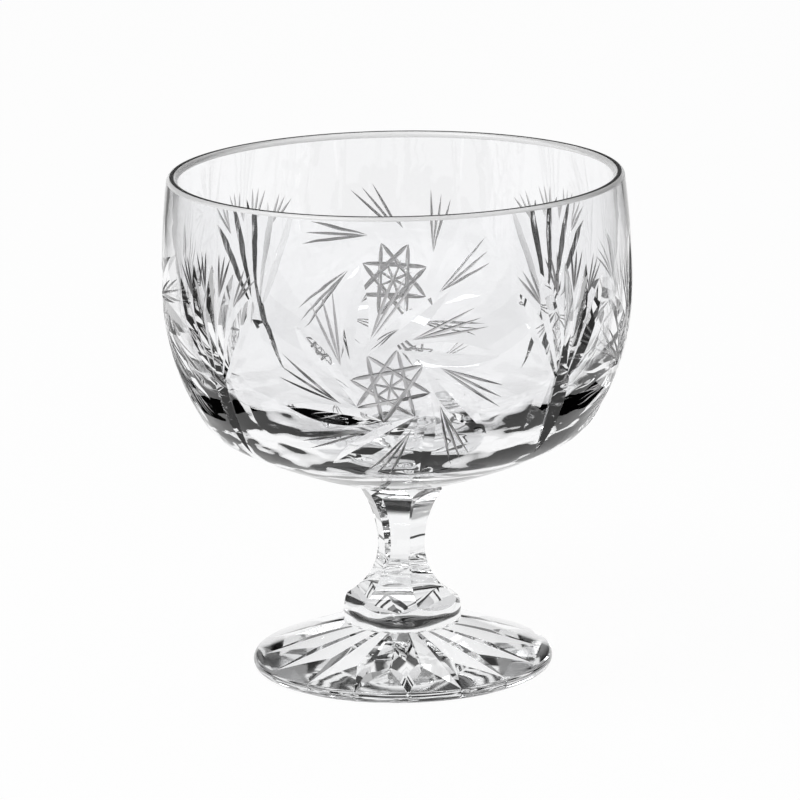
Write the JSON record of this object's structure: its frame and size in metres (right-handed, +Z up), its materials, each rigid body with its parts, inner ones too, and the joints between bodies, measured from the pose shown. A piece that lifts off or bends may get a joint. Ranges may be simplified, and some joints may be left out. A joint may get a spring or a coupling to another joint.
{
  "type": "footed dessert bowl",
  "caption": "Clear cut-glass dessert bowl on a six-sided waisted stem and a round foot, with wheel-cut pinwheels and fans round its side and a star under its foot.",
  "frame": {"origin": "centre of the plane that the foot rests on", "axes": "+Z up along the axis of the bowl, -Y towards the front, where the middle of one pinwheel faces"},
  "size_m": [0.102, 0.102, 0.11],
  "materials": {
    "bowl_glass": "polished, with ground cuts",
    "stem_glass": "polished, with ground cuts",
    "foot_glass": "polished, with ground cuts"
  },
  "bodies": {
    "root": {"bowl": "bowl_glass", "stem": "stem_glass", "foot": "foot_glass"}
  },
  "joints": []
}
